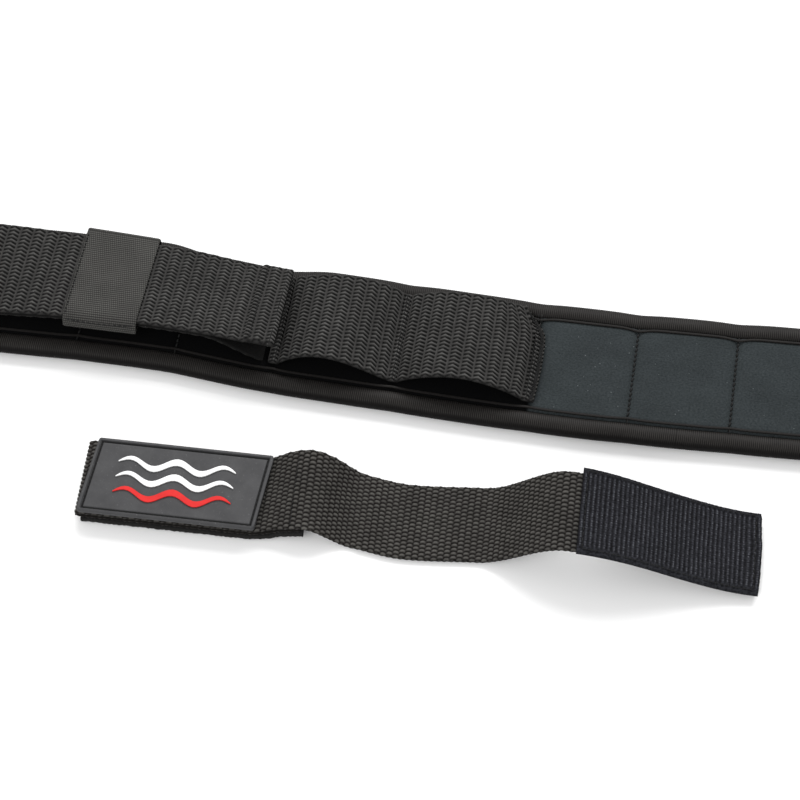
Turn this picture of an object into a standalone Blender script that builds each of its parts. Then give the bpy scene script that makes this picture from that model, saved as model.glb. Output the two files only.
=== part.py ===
"""Padded dive weight belt: a quilted pad with webbing tunnels, a cam buckle, a free tail and a closing strap.

Metres, +Z up. +X runs along the belt from its buckle to its free tail, +Y across it, +Z out of its face.
The origin is on the flat back of the pad, which lies on the ground. The closing strap is a loose piece that
lies in front of the belt, at -Y.
"""

import math

import bmesh
import bpy
from mathutils import Matrix, Vector

GAP = 0.0003  # clearance between pieces that touch

# The pad and the shallow bow in which it lies
PAD_WIDTH = 0.070
PAD_MIDDLE = 0.1295
PAD_HALF_LENGTH = 0.3445
PAD_CORNER = 0.020
FACE_TOP = 0.0080
FACE_THICKNESS = 0.0013
LINING_THICKNESS = 0.0010
BINDING_WIDTH = 0.0095
BINDING_HEIGHT = 0.0080
FOLD_X = 0.106
FOLD_Z = 0.0090
BOW_KNOTS = ((-0.240, 0.0002), (-0.122, 0.0040), (-0.050, 0.0002), (0.045, -0.0006), (0.330, 0.0115))

# The main webbing, nominally 50 mm wide
WEB_WIDTH = 0.049
WEB_THICKNESS = 0.0020
WEB_OFFSET = 0.0020  # its centre line from the pad's
SEWN_Z = FACE_TOP + GAP + WEB_THICKNESS / 2
TUNNEL_RISE = 0.012
LEFT_SEAMS = (0.059, -0.004, -0.061)
RIGHT_SEAMS = tuple(2 * PAD_MIDDLE - x for x in LEFT_SEAMS)
LEFT_LEANS, RIGHT_LEANS = (1.0, 1.31), (1.0, 1.0)
SEAM_HALF = 0.002
CELL_PITCH, CELL_CROWN = 0.047, 0.0004  # the plain cells past the tunnels, and how far they lift the webbing
BASE_Z = 0.0165  # the layer that floats above the pad
RETURN_Z = BASE_Z + WEB_THICKNESS + 0.0004  # the layer that comes back from the buckle
RETURN_END = -0.060
HEM_LENGTH = 0.014
FLOAT_START, FLOAT_FULL = -0.063, -0.096
DROP_START = -0.205
BAR_X, BAR_Z = -0.292, 0.0085  # the buckle bar, which it goes round
ROLL_KNOTS = ((BAR_X, 0), (-0.205, 5), (-0.108, 5), (-0.078, 10))  # degrees
TAIL_SPLIT = 0.4705
TAIL_DROP_START, TAIL_DROP_END = 0.477, 0.530
TAIL_END = 0.700

# The keeper loop
KEEPER_X = (-0.161, -0.126)
KEEPER_INSIDE = (0.0262, 0.0027)  # half width and half height
KEEPER_WALL = 0.0012
KEEPER_ROLL = math.radians(5)

# The cam buckle
BAR_RADIUS = 0.0030
LOOP_RADIUS = BAR_RADIUS + GAP + WEB_THICKNESS / 2
CHEEK_INSIDE, CHEEK_THICKNESS = 0.0283, 0.0020
PLATE_START, PLATE_END, PLATE_THICKNESS = 0.009, 0.053, 0.0020  # measured from the bar, away from the pad
PIN_REACH, PIN_Z, PIN_RADIUS = 0.044, 0.0095, 0.0015
HEAD_HEIGHT = 0.0012
RUNNING_GAP = 0.0003
LEVER_HALF_WIDTH = CHEEK_INSIDE - 0.0004
LEVER_LENGTH = 0.040
CAM_RADIUS = 0.0058
ROUND_SIDES = 20

# The closing strap, in its own frame
STRAP_PLACE, STRAP_TURN = (0.021, -0.0865, 0.0), math.radians(2.5)
STRAP_WIDTH = 0.038
STRAP_SPLIT = 0.011
STRAP_FOLD_Z = 0.0026
STRAP_KNOTS = (
    (-0.155, 0.0061), (-0.0745, 0.0061), (-0.052, 0.0138), (-0.030, 0.0013),
    (0.026, 0.0013), (0.064, 0.0240), (0.151, 0.0013),
)
# The strap's roll in degrees, and how far its centre line sways
STRAP_ROLLS = ((-0.0745, 0), (-0.055, -9), (-0.048, -9), (-0.033, 0), (0.030, 0), (0.060, -6), (0.105, 0))
STRAP_SWAY = ((-0.045, 0.0), (-0.008, -0.0027), (0.035, 0.0), (0.151, -0.0015))
STRAP_UNDER_END = -0.055  # the end of the layer folded back under the patch
TAPE_SPAN, TAPE_WIDTH, TAPE_THICKNESS = (-0.1545, -0.0535), 0.040, 0.0022
HOOK_SPAN, HOOK_WIDTH, HOOK_THICKNESS = (0.069, 0.1515), 0.0415, 0.0020
PATCH_SPAN, PATCH_WIDTH = (-0.1545, -0.0735), 0.0385
PATCH_THICKNESS, PATCH_RIM_WIDTH, PATCH_RIM_HEIGHT = 0.0022, 0.0016, 0.0006
WAVE_LENGTH, WAVE_HEIGHT, WAVE_BAND, WAVE_PITCH, WAVE_THICKNESS = 0.0540, 0.0023, 0.0032, 0.0078, 0.0006


def clear_scene():
    for obj in list(bpy.data.objects):
        bpy.data.objects.remove(obj, do_unlink=True)


def material(name, colour, roughness, metallic=0.0):
    made = bpy.data.materials.new(name)
    made.use_nodes = True
    shader = made.node_tree.nodes["Principled BSDF"]
    shader.inputs["Base Color"].default_value = (*colour, 1)
    shader.inputs["Roughness"].default_value = roughness
    shader.inputs["Metallic"].default_value = metallic
    return made


def pivot(name, place, parent=None, turn=0.0):
    """An empty on a joint's axis, which carries the pieces that move about it."""
    made = bpy.data.objects.new(name, None)
    bpy.context.collection.objects.link(made)
    made.matrix_world = Matrix.Translation(place) @ Matrix.Rotation(turn, 4, "Z")
    bpy.context.view_layer.update()
    if parent:
        made.parent = parent
        made.matrix_parent_inverse = parent.matrix_world.inverted()
        bpy.context.view_layer.update()
    return made


def piece(name, points, faces, finish, parent, frame=Matrix()):
    """One closed solid from points in the given frame, held by its pivot."""
    mesh = bpy.data.meshes.new(name)
    to_pivot = parent.matrix_world.inverted() @ frame
    mesh.from_pydata([to_pivot @ Vector(point) for point in points], [], faces)
    work = bmesh.new()
    work.from_mesh(mesh)
    bmesh.ops.recalc_face_normals(work, faces=work.faces)
    work.to_mesh(mesh)
    work.free()
    mesh.shade_smooth()
    mesh.set_sharp_from_angle(angle=math.radians(35))
    mesh.materials.append(finish)
    made = bpy.data.objects.new(name, mesh)
    bpy.context.collection.objects.link(made)
    made.parent = parent
    bpy.context.view_layer.update()
    return made


def tube_faces(rings, sides, closed=False):
    """Faces that join rings of points in turn, with end caps unless the last ring meets the first."""
    joins = rings if closed else rings - 1
    faces = []
    for ring in range(joins):
        after = (ring + 1) % rings
        for side in range(sides):
            turned = (side + 1) % sides
            here, there = ring * sides, after * sides
            faces.append((here + side, here + turned, there + turned, there + side))
    if not closed:
        faces.append(tuple(range(sides)))
        faces.append(tuple(range((rings - 1) * sides, rings * sides)))
    return faces


def spread(start, end, count):
    """Evenly spaced values from start to end, both included."""
    return [start + (end - start) * step / (count - 1) for step in range(count)]


def ramp(value, start, end):
    """A smooth step from 0 at start to 1 at end."""
    part = min(max((value - start) / (end - start), 0.0), 1.0)
    return part * part * (3 - 2 * part)


def through(knots, place):
    """A smooth curve through (place, value) knots, level at each of them."""
    for (start, low), (end, high) in zip(knots, knots[1:]):
        if place <= end:
            return low + (high - low) * ramp(place, start, end)
    return knots[-1][1]


def pad_centre(x):
    """How far sideways the pad's centre line lies at x."""
    return through(BOW_KNOTS, x)


def web_centre(x):
    return pad_centre(x) + WEB_OFFSET


def pad_edge(inset, side):
    """Plan points round one half of the pad, from the fold along the front edge, round the end and back."""
    half = PAD_WIDTH / 2 - inset
    radius = PAD_CORNER - inset
    corner = PAD_MIDDLE + side * (PAD_HALF_LENGTH - PAD_CORNER)
    along = spread(FOLD_X + side * GAP, corner, 18)
    front = [(x, -half) for x in along]
    turn = []
    for middle, first in ((radius - half, -90), (half - radius, 0)):
        for step in range(1, 7):
            angle = math.radians(first + 15 * step)
            turn.append((corner + side * radius * math.cos(angle), middle + radius * math.sin(angle)))
    rear = [(x, half) for x in reversed(along[:-1])]
    return [(x, y + pad_centre(x)) for x, y in front + turn + rear]


def slab(name, outline, bottom, top, finish, parent, frame=Matrix()):
    """A flat plate with the given plan outline."""
    points = [(x, y, z) for z in (bottom, top) for x, y in outline]
    return piece(name, points, tube_faces(2, len(outline)), finish, parent, frame)


def bar_stock(name, outline, low, high, finish, parent):
    """A solid with the given outline in X and Z, from low to high along Y."""
    points = [(x, y, z) for y in (low, high) for x, z in outline]
    return piece(name, points, tube_faces(2, len(outline)), finish, parent)


def roll_section():
    """The rounded section of the edge binding, as places across the edge and heights."""
    section = []
    for step in range(12):
        angle = math.tau * step / 12
        across, up = math.cos(angle), math.sin(angle)
        across = math.copysign(abs(across) ** 0.8, across) * BINDING_WIDTH / 2
        up = math.copysign(abs(up) ** 0.8, up) * BINDING_HEIGHT / 2
        section.append((across, up + BINDING_HEIGHT / 2))
    return section


def binding(name, side, finish, parent):
    route = pad_edge(BINDING_WIDTH / 2, side)
    section = roll_section()
    points = []
    for index, (x, y) in enumerate(route):
        if 0 < index < len(route) - 1:
            before, after = Vector(route[index - 1]), Vector(route[index + 1])
            ahead = (after - before).normalized()
        else:
            ahead = Vector((side if index == 0 else -side, 0))
        points += [(x + across * ahead.y, y - across * ahead.x, z) for across, z in section]
    return piece(name, points, tube_faces(len(route), len(section)), finish, parent)


def ribbon(name, stations, width, thickness, finish, parent, frame=Matrix()):
    """A flat strip along stations (x, y, z, roll), where a positive roll lifts its front edge.

    thickness is one number, or one for each station.
    """
    depths = thickness if isinstance(thickness, list) else [thickness] * len(stations)
    points = []
    for index, (x, y, z, roll) in enumerate(stations):
        before = stations[max(index - 1, 0)]
        after = stations[min(index + 1, len(stations) - 1)]
        ahead = Vector((after[0] - before[0], 0, after[2] - before[2])).normalized()
        across = Vector((0, math.cos(roll), -math.sin(roll)))
        up = across.cross(ahead).normalized() * depths[index] / 2
        middle = Vector((x, y, z))
        for side, level in ((-1, -1), (-1, 1), (1, 1), (1, -1)):
            points.append(middle + across * side * width / 2 + up * level)
    return piece(name, points, tube_faces(len(stations), 4), finish, parent, frame)


def tunnel_profile(start, end, lean):
    """Places and heights of the webbing over one tunnel, from seam to seam. A lean over 1 moves its crown on."""
    direction = 1 if end > start else -1
    profile = []
    for part in spread(0, 1, 15):
        x = start + direction * SEAM_HALF + (end - start - 2 * direction * SEAM_HALF) * part
        profile.append((x, SEWN_Z + TUNNEL_RISE * max(math.sin(math.pi * part**lean), 0.0) ** 0.8))
    return profile


def sewn_profile(seams, leans):
    """The webbing from its cut end over two tunnels to just past the last seam."""
    direction = 1 if seams[1] > seams[0] else -1
    profile = [(seams[0] - direction * 0.003, SEWN_Z)]
    for start, end, lean in zip(seams, seams[1:], leans):
        profile += tunnel_profile(start, end, lean)
    return profile


def float_height(x, level, at_bar):
    """The height of a webbing layer between the sewn part and the buckle bar."""
    up = SEWN_Z + (level - SEWN_Z) * ramp(x, FLOAT_START, FLOAT_FULL) if level == BASE_Z else level
    return up + (at_bar - level) * ramp(x, DROP_START, BAR_X)


def float_roll(x):
    """The twist of the floating layers, which lifts their front edge most near the hem."""
    return math.radians(through(ROLL_KNOTS, x))


def left_webbing_stations():
    """From the cut end over the tunnels, above the pad, round the buckle bar and back to the hem."""
    profile = sewn_profile(LEFT_SEAMS, LEFT_LEANS)
    stations = [(x, web_centre(x), z, 0.0) for x, z in profile]
    for x in spread(FLOAT_START - 0.002, BAR_X, 30):
        roll = float_roll(x) * ramp(x, FLOAT_START, FLOAT_FULL)
        stations.append((x, web_centre(x), float_height(x, BASE_Z, BAR_Z - LOOP_RADIUS), roll))
    for angle in spread(-90, -270, 10)[1:-1]:
        turned = math.radians(angle)
        x = BAR_X + LOOP_RADIUS * math.cos(turned)
        stations.append((x, web_centre(BAR_X), BAR_Z + LOOP_RADIUS * math.sin(turned), 0.0))
    for x in spread(BAR_X, RETURN_END - HEM_LENGTH, 26):
        stations.append((x, web_centre(x), float_height(x, RETURN_Z, BAR_Z + LOOP_RADIUS), float_roll(x)))
    for x in (RETURN_END - HEM_LENGTH + 0.0005, RETURN_END):
        stations.append((x, web_centre(x), RETURN_Z + WEB_THICKNESS / 2, float_roll(x)))
    return stations


def make_left_webbing(finish, parent):
    stations = left_webbing_stations()
    thickness = [WEB_THICKNESS] * (len(stations) - 2) + [2 * WEB_THICKNESS] * 2
    return ribbon("webbing_left", stations, WEB_WIDTH, thickness, finish, parent)


def make_right_webbing(finish, parent):
    profile = sewn_profile(RIGHT_SEAMS, RIGHT_LEANS)
    for x in spread(RIGHT_SEAMS[-1] + 0.003, TAIL_SPLIT - GAP, 25):
        crown = CELL_CROWN * abs(math.sin(math.pi * (x - RIGHT_SEAMS[-1]) / CELL_PITCH))
        profile.append((x, SEWN_Z + crown))
    stations = [(x, web_centre(x), z, 0.0) for x, z in profile]
    return ribbon("webbing_right", stations, WEB_WIDTH, WEB_THICKNESS, finish, parent)


def make_tail(finish, parent):
    ground = GAP + WEB_THICKNESS / 2
    places = spread(TAIL_SPLIT + GAP, TAIL_DROP_START, 2) + spread(TAIL_DROP_START, TAIL_DROP_END, 12)[1:]
    places += spread(TAIL_DROP_END, TAIL_END, 5)[1:]
    stations = []
    for x in places:
        z = SEWN_Z + (ground - SEWN_Z) * ramp(x, TAIL_DROP_START, TAIL_DROP_END)
        stations.append((x, web_centre(x), z, 0.0))
    return ribbon("webbing_tail", stations, WEB_WIDTH, WEB_THICKNESS, finish, parent)


def rounded_box(half_width, half_height, radius):
    """A rectangle with round corners, as places across and heights."""
    outline = []
    for corner, (side, level) in enumerate(((1, 1), (-1, 1), (-1, -1), (1, -1))):
        for step in range(4):
            angle = math.radians(90 * corner + 30 * step)
            across = side * (half_width - radius) + radius * math.cos(angle)
            outline.append((across, level * (half_height - radius) + radius * math.sin(angle)))
    return outline


def make_keeper(finish, parent):
    """A flat sleeve round both layers of webbing, rolled with them."""
    wide, high = KEEPER_INSIDE
    inside = rounded_box(wide, high, 0.0010)
    outside = rounded_box(wide + KEEPER_WALL, high + KEEPER_WALL, 0.0020)
    middle_x = sum(KEEPER_X) / 2
    frame = Matrix.Translation((middle_x, web_centre(middle_x), (BASE_Z + RETURN_Z) / 2))
    frame = frame @ Matrix.Rotation(-KEEPER_ROLL, 4, "X")
    half = (KEEPER_X[1] - KEEPER_X[0]) / 2
    sections = ((-half, outside), (half, outside), (half, inside), (-half, inside))
    points = [(x, across, up) for x, outline in sections for across, up in outline]
    faces = tube_faces(len(sections), len(inside), closed=True)
    return piece("keeper_loop", points, faces, finish, parent, frame)


def turned(name, x, z, steps, finish, parent, sides=ROUND_SIDES):
    """A round solid about a line along Y, from (place along Y, radius) steps."""
    points = []
    for y, radius in steps:
        for side in range(sides):
            angle = math.tau * side / sides
            points.append((x + radius * math.cos(angle), y, z + radius * math.sin(angle)))
    return piece(name, points, tube_faces(len(steps), sides), finish, parent)


def riveted_rod(name, x, z, radius, head, finish, parent):
    """A rod through both cheeks, with a low rivet head outside each."""
    centre = web_centre(BAR_X)
    face = CHEEK_INSIDE + CHEEK_THICKNESS + GAP
    steps = []
    for side in (-1, 1):
        top = face + HEAD_HEIGHT
        ends = [(top, head * 0.6), (face + HEAD_HEIGHT * 0.6, head), (face, head), (face, radius)]
        ordered = ends if side < 0 else list(reversed(ends))
        steps += [(centre + side * y, r) for y, r in ordered]
    return turned(name, x, z, steps, finish, parent)


def cutter(name, x, z, radius, finish, parent):
    reach = CHEEK_INSIDE + 2 * CHEEK_THICKNESS
    centre = web_centre(BAR_X)
    made = turned(name, x, z, ((centre - reach, radius), (centre + reach, radius)), finish, parent)
    return hidden(made)


def hidden(obj):
    obj.hide_render = True
    obj.display_type = "WIRE"
    return obj


def combine(obj, other, operation):
    step = obj.modifiers.new(other.name, "BOOLEAN")
    step.operation = operation
    step.object = other


def soften(obj, width):
    """A small round on the sharp edges."""
    step = obj.modifiers.new("soften", "BEVEL")
    step.width = width
    step.segments = 2
    step.limit_method = "ANGLE"
    step.angle_limit = math.radians(40)


def cheek_outline():
    """A cheek from its round end at the bar to its square end, as X and Z."""
    outline = []
    for step in range(7):
        angle = math.radians(30 * step - 90)
        outline.append((BAR_X + 0.0065 * math.cos(angle), BAR_Z + 0.0065 * math.sin(angle)))
    outline += [(BAR_X - 0.013, 0.0155), (BAR_X - 0.048, 0.0155), (BAR_X - 0.0535, 0.0100)]
    outline += [(BAR_X - 0.0535, 0.0015), (BAR_X - 0.052, 0.0), (BAR_X - 0.009, 0.0)]
    return outline


def make_buckle_frame(finish, parent):
    centre = web_centre(BAR_X)
    plate = [
        (BAR_X - PLATE_START, 0.0), (BAR_X - PLATE_START, PLATE_THICKNESS),
        (BAR_X - PLATE_END, PLATE_THICKNESS), (BAR_X - PLATE_END, 0.0),
    ]
    inside = CHEEK_INSIDE + CHEEK_THICKNESS / 2
    frame = bar_stock("buckle_frame", plate, centre - inside, centre + inside, finish, parent)
    for side, label in ((-1, "front"), (1, "rear")):
        low, high = sorted((centre + side * CHEEK_INSIDE, centre + side * (CHEEK_INSIDE + CHEEK_THICKNESS)))
        cheek = hidden(bar_stock(f"cheek_{label}", cheek_outline(), low, high, finish, parent))
        combine(frame, cheek, "UNION")
    for name, x, z, radius in (
        ("bar_hole", BAR_X, BAR_Z, BAR_RADIUS + GAP),
        ("pin_hole", BAR_X - PIN_REACH, PIN_Z, PIN_RADIUS + RUNNING_GAP),
    ):
        combine(frame, cutter(name, x, z, radius, finish, parent), "DIFFERENCE")
    soften(frame, 0.0003)
    return frame


def lever_outline():
    """The lever's side view: a cam about the pin, a flat plate over the buckle and an upturned finger lip."""
    pin_x = BAR_X - PIN_REACH
    top, under = PIN_Z + 0.0063, PIN_Z + 0.0045
    outline = []
    for step in range(10):
        angle = math.radians(250 - 160 * step / 9)
        outline.append((pin_x + CAM_RADIUS * math.cos(angle), PIN_Z + CAM_RADIUS * math.sin(angle)))
    lip = pin_x + LEVER_LENGTH
    outline += [(pin_x + 0.002, top), (lip - 0.007, top), (lip - 0.003, top + 0.0009), (lip, top + 0.0030)]
    outline += [(lip + 0.0012, top + 0.0018), (lip - 0.0025, under + 0.0004), (lip - 0.007, under)]
    outline += [(pin_x + 0.0075, under), (pin_x + 0.0048, PIN_Z + 0.0020), (pin_x + 0.0042, PIN_Z - 0.0020)]
    outline.append((pin_x + 0.0015, PIN_Z - CAM_RADIUS))
    return outline


def make_buckle_lever(finish, parent):
    centre = web_centre(BAR_X)
    low, high = centre - LEVER_HALF_WIDTH, centre + LEVER_HALF_WIDTH
    lever = bar_stock("buckle_lever", lever_outline(), low, high, finish, parent)
    bore = cutter("lever_bore", BAR_X - PIN_REACH, PIN_Z, PIN_RADIUS + RUNNING_GAP, finish, parent)
    combine(lever, bore, "DIFFERENCE")
    soften(lever, 0.0003)
    return lever


def strap_stations(span, count, lift):
    """Stations along the strap, which lies in two humps, raised by lift from its centre line along its normal."""
    stations = []
    step = 0.0005
    for s in spread(*span, count):
        rise = through(STRAP_KNOTS, s + step) - through(STRAP_KNOTS, s - step)
        lean = math.atan(rise / (2 * step))
        x = s - lift * math.sin(lean)
        z = through(STRAP_KNOTS, s) + lift * math.cos(lean)
        stations.append((x, through(STRAP_SWAY, s), z, math.radians(through(STRAP_ROLLS, s))))
    return stations


def folded_end():
    """The patch end of the strap, from the layer under it, round the fold and along its top to the split."""
    start = STRAP_KNOTS[0][0]
    drop = WEB_THICKNESS + GAP
    stations = strap_stations((STRAP_UNDER_END, start), 34, -drop)
    for angle in spread(-90, -270, 8)[1:-1]:
        turned = math.radians(angle)
        x = start + drop / 2 * math.cos(turned)
        stations.append((x, 0.0, STRAP_KNOTS[0][1] + drop / 2 * (math.sin(turned) - 1), 0.0))
    return stations + strap_stations((start, STRAP_SPLIT - GAP), 40, 0.0)


def make_patch(finish, parent, frame):
    """A rubber plate with a raised rim."""
    bottom = STRAP_KNOTS[0][1] + WEB_THICKNESS / 2 + GAP
    middle = sum(PATCH_SPAN) / 2
    half_length, half_width = (PATCH_SPAN[1] - PATCH_SPAN[0]) / 2, PATCH_WIDTH / 2
    outer = rounded_box(half_length, half_width, 0.0020)
    inner = rounded_box(half_length - PATCH_RIM_WIDTH, half_width - PATCH_RIM_WIDTH, 0.0010)
    floor = bottom + PATCH_THICKNESS
    rim = floor + PATCH_RIM_HEIGHT
    levels = ((outer, bottom), (outer, rim), (inner, rim), (inner, floor))
    points = [(middle + x, y, z) for outline, z in levels for x, y in outline]
    return piece("rubber_patch", points, tube_faces(len(levels), len(outer)), finish, parent, frame)


def wave_outline(middle, level):
    """A wavy band that tapers to both ends."""
    upper, lower = [], []
    for part in spread(0, 1, 33):
        x = middle + WAVE_LENGTH * (part - 0.5)
        y = level + WAVE_HEIGHT * math.sin(math.tau * 2.5 * part)
        half = WAVE_BAND / 2 * (0.12 + 0.88 * math.sin(math.pi * part) ** 0.6)
        upper.append((x, y + half))
        lower.append((x, y - half))
    return lower + list(reversed(upper))


def make_emblem(finishes, parent, frame):
    """Three stacked waves on the patch."""
    bottom = STRAP_KNOTS[0][1] + WEB_THICKNESS / 2 + 2 * GAP + PATCH_THICKNESS
    middle = sum(PATCH_SPAN) / 2
    for row, (label, finish) in enumerate(zip(("upper", "middle", "lower"), finishes)):
        outline = wave_outline(middle, (1 - row) * WAVE_PITCH)
        slab(f"emblem_wave_{label}", outline, bottom, bottom + WAVE_THICKNESS, finish, parent, frame)


def make_pad(finishes, left, right):
    inside = BINDING_WIDTH + GAP
    layers = (
        ("back_lining", 0.0, LINING_THICKNESS, finishes["lining"]),
        ("foam_core", LINING_THICKNESS + GAP, FACE_TOP - FACE_THICKNESS - GAP, finishes["foam"]),
        ("face_cover", FACE_TOP - FACE_THICKNESS, FACE_TOP, finishes["neoprene"]),
    )
    for label, side, parent in (("left", -1, left), ("right", 1, right)):
        for name, bottom, top, finish in layers:
            slab(f"{name}_{label}", pad_edge(inside, side), bottom, top, finish, parent)
        binding(f"edge_binding_{label}", side, finishes["binding"], parent)


def make_buckle(finishes, frame_pivot, lever_pivot):
    steel = finishes["steel"]
    make_buckle_frame(steel, frame_pivot)
    riveted_rod("buckle_bar", BAR_X, BAR_Z, BAR_RADIUS, 0.0042, steel, frame_pivot)
    riveted_rod("lever_pin", BAR_X - PIN_REACH, PIN_Z, PIN_RADIUS, 0.0028, steel, frame_pivot)
    make_buckle_lever(finishes["lever"], lever_pivot)


def make_strap(finishes, patch_end, hook_end, frame):
    web, tape, hook = finishes["strap"], finishes["loop_tape"], finishes["hook"]
    ribbon("strap_patch_end", folded_end(), STRAP_WIDTH, WEB_THICKNESS, web, patch_end, frame)
    route = strap_stations((STRAP_SPLIT + GAP, STRAP_KNOTS[-1][0]), 36, 0.0)
    ribbon("strap_hook_end", route, STRAP_WIDTH, WEB_THICKNESS, web, hook_end, frame)
    route = strap_stations(TAPE_SPAN, 34, -(1.5 * WEB_THICKNESS + 2 * GAP + TAPE_THICKNESS / 2))
    ribbon("loop_tape", route, TAPE_WIDTH, TAPE_THICKNESS, tape, patch_end, frame)
    route = strap_stations(HOOK_SPAN, 18, WEB_THICKNESS / 2 + GAP + HOOK_THICKNESS / 2)
    ribbon("hook_panel", route, HOOK_WIDTH, HOOK_THICKNESS, hook, hook_end, frame)
    make_patch(finishes["rubber"], patch_end, frame)
    make_emblem((finishes["white"], finishes["white"], finishes["red"]), patch_end, frame)


def make_finishes():
    return {
        "neoprene": material("neoprene", (0.030, 0.038, 0.042), 0.9),
        "lining": material("lining", (0.02, 0.02, 0.021), 0.9),
        "foam": material("foam", (0.05, 0.05, 0.05), 0.95),
        "binding": material("binding", (0.012, 0.012, 0.012), 0.6),
        "webbing": material("webbing", (0.028, 0.027, 0.026), 0.8),
        "keeper": material("keeper", (0.06, 0.058, 0.055), 0.85),
        "steel": material("steel", (0.55, 0.55, 0.56), 0.3, 1.0),
        "lever": material("lever", (0.6, 0.6, 0.61), 0.25, 1.0),
        "strap": material("strap", (0.026, 0.024, 0.022), 0.8),
        "loop_tape": material("loop_tape", (0.015, 0.015, 0.015), 1.0),
        "hook": material("hook", (0.012, 0.013, 0.018), 0.75),
        "rubber": material("rubber", (0.075, 0.075, 0.08), 0.6),
        "white": material("emblem_white", (0.8, 0.8, 0.8), 0.5),
        "red": material("emblem_red", (0.6, 0.02, 0.02), 0.5),
    }


def main():
    clear_scene()
    finishes = make_finishes()
    left = pivot("pad_left", (0, 0, 0))
    right = pivot("pad_fold", (FOLD_X, 0, FOLD_Z), left)
    tail = pivot("tail_bend", (TAIL_SPLIT, 0, SEWN_Z + WEB_THICKNESS / 2 + GAP / 3), right)
    keeper = pivot("keeper_slide", (sum(KEEPER_X) / 2, 0, BASE_Z), left)
    buckle = pivot("buckle_swivel", (BAR_X, 0, BAR_Z), left)
    lever = pivot("lever_hinge", (BAR_X - PIN_REACH, 0, PIN_Z), buckle)
    strap = pivot("strap_slide", STRAP_PLACE, left, STRAP_TURN)
    strap_frame = strap.matrix_world.copy()
    hook_end = pivot("strap_fold", strap_frame @ Vector((STRAP_SPLIT, 0, STRAP_FOLD_Z)), strap, STRAP_TURN)

    make_pad(finishes, left, right)
    make_left_webbing(finishes["webbing"], left)
    make_right_webbing(finishes["webbing"], right)
    make_tail(finishes["webbing"], tail)
    make_keeper(finishes["keeper"], keeper)
    make_buckle(finishes, buckle, lever)
    make_strap(finishes, strap, hook_end, strap_frame)


main()
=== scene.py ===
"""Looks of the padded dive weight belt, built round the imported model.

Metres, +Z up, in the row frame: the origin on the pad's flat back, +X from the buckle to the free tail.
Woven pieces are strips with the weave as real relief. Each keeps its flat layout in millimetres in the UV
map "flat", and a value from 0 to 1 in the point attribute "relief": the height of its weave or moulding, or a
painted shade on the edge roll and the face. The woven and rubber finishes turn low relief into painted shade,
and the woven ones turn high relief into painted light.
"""

import math

import bpy
import numpy as np
from mathutils import Matrix, Vector


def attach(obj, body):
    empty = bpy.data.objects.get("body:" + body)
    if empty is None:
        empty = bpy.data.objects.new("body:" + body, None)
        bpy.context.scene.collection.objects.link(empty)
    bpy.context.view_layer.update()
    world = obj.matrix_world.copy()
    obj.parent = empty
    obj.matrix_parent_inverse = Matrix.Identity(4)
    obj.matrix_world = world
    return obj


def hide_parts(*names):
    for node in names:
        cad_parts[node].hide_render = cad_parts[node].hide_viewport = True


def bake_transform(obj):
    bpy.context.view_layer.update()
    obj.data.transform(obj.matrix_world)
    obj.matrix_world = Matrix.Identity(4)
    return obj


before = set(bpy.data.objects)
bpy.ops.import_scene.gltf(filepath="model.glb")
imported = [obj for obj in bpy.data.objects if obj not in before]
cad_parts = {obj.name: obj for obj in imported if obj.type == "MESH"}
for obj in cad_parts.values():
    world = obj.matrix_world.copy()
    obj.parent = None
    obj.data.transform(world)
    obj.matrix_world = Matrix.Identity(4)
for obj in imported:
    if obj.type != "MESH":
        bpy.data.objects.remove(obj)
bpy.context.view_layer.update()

MM = 0.001
GAP = 0.0003

# The pad and the shallow bow in which it lies
PAD_WIDTH = 0.070
PAD_MIDDLE, PAD_HALF_LENGTH, PAD_CORNER = 0.1295, 0.3445, 0.020
FACE_TOP = 0.0080
LINING_TOP = 0.0010
BINDING_WIDTH, BINDING_HEIGHT = 0.0095, 0.0080
FOLD_X = 0.106
BOW_KNOTS = ((-0.240, 0.0002), (-0.122, 0.0040), (-0.050, 0.0002), (0.045, -0.0006), (0.330, 0.0115))

# The main webbing, nominally 50 mm wide
WEB_WIDTH, WEB_THICKNESS, WEB_OFFSET = 0.049, 0.0020, 0.0020
WEAVE_HEIGHT = 0.00055
SEWN_Z = FACE_TOP + GAP + WEB_THICKNESS / 2
TUNNEL_RISE_FRONT, TUNNEL_RISE_REAR = 0.012, 0.009
LEFT_SEAMS = (-0.061, -0.004, 0.059)
RIGHT_SEAMS = tuple(2 * PAD_MIDDLE - x for x in reversed(LEFT_SEAMS))
# Over 1, the lean moves the outer left tunnel's crown towards the buckle
OUTER_LEAN_FRONT, OUTER_LEAN_REAR = 1.31, 0.90
SEAM_HALF = 0.002
CELL_PITCH = 0.047
BASE_Z = 0.0165
RETURN_Z = BASE_Z + WEB_THICKNESS + 0.0004
RETURN_END, HEM_LENGTH = -0.060, 0.014
FLOAT_START, FLOAT_FULL, DROP_START = -0.063, -0.096, -0.205
TAIL_SPLIT, TAIL_DROP_START, TAIL_DROP_END, TAIL_END = 0.4705, 0.477, 0.530, 0.700
BAR_X, BAR_Z = -0.292, 0.0085
ROLL_KNOTS = ((BAR_X, 0), (-0.200, -1), (-0.161, 3.5), (-0.126, 6.5), (-0.078, 10))  # degrees
LOOP_RADIUS = 0.0030 + GAP + WEB_THICKNESS / 2

# The keeper loop
KEEPER_X = (-0.161, -0.126)
KEEPER_INSIDE = (0.0262, 0.0027)
KEEPER_WALL = 0.0012
KEEPER_ROLL, KEEPER_TWIST = math.radians(5), math.radians(1.5)

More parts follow.
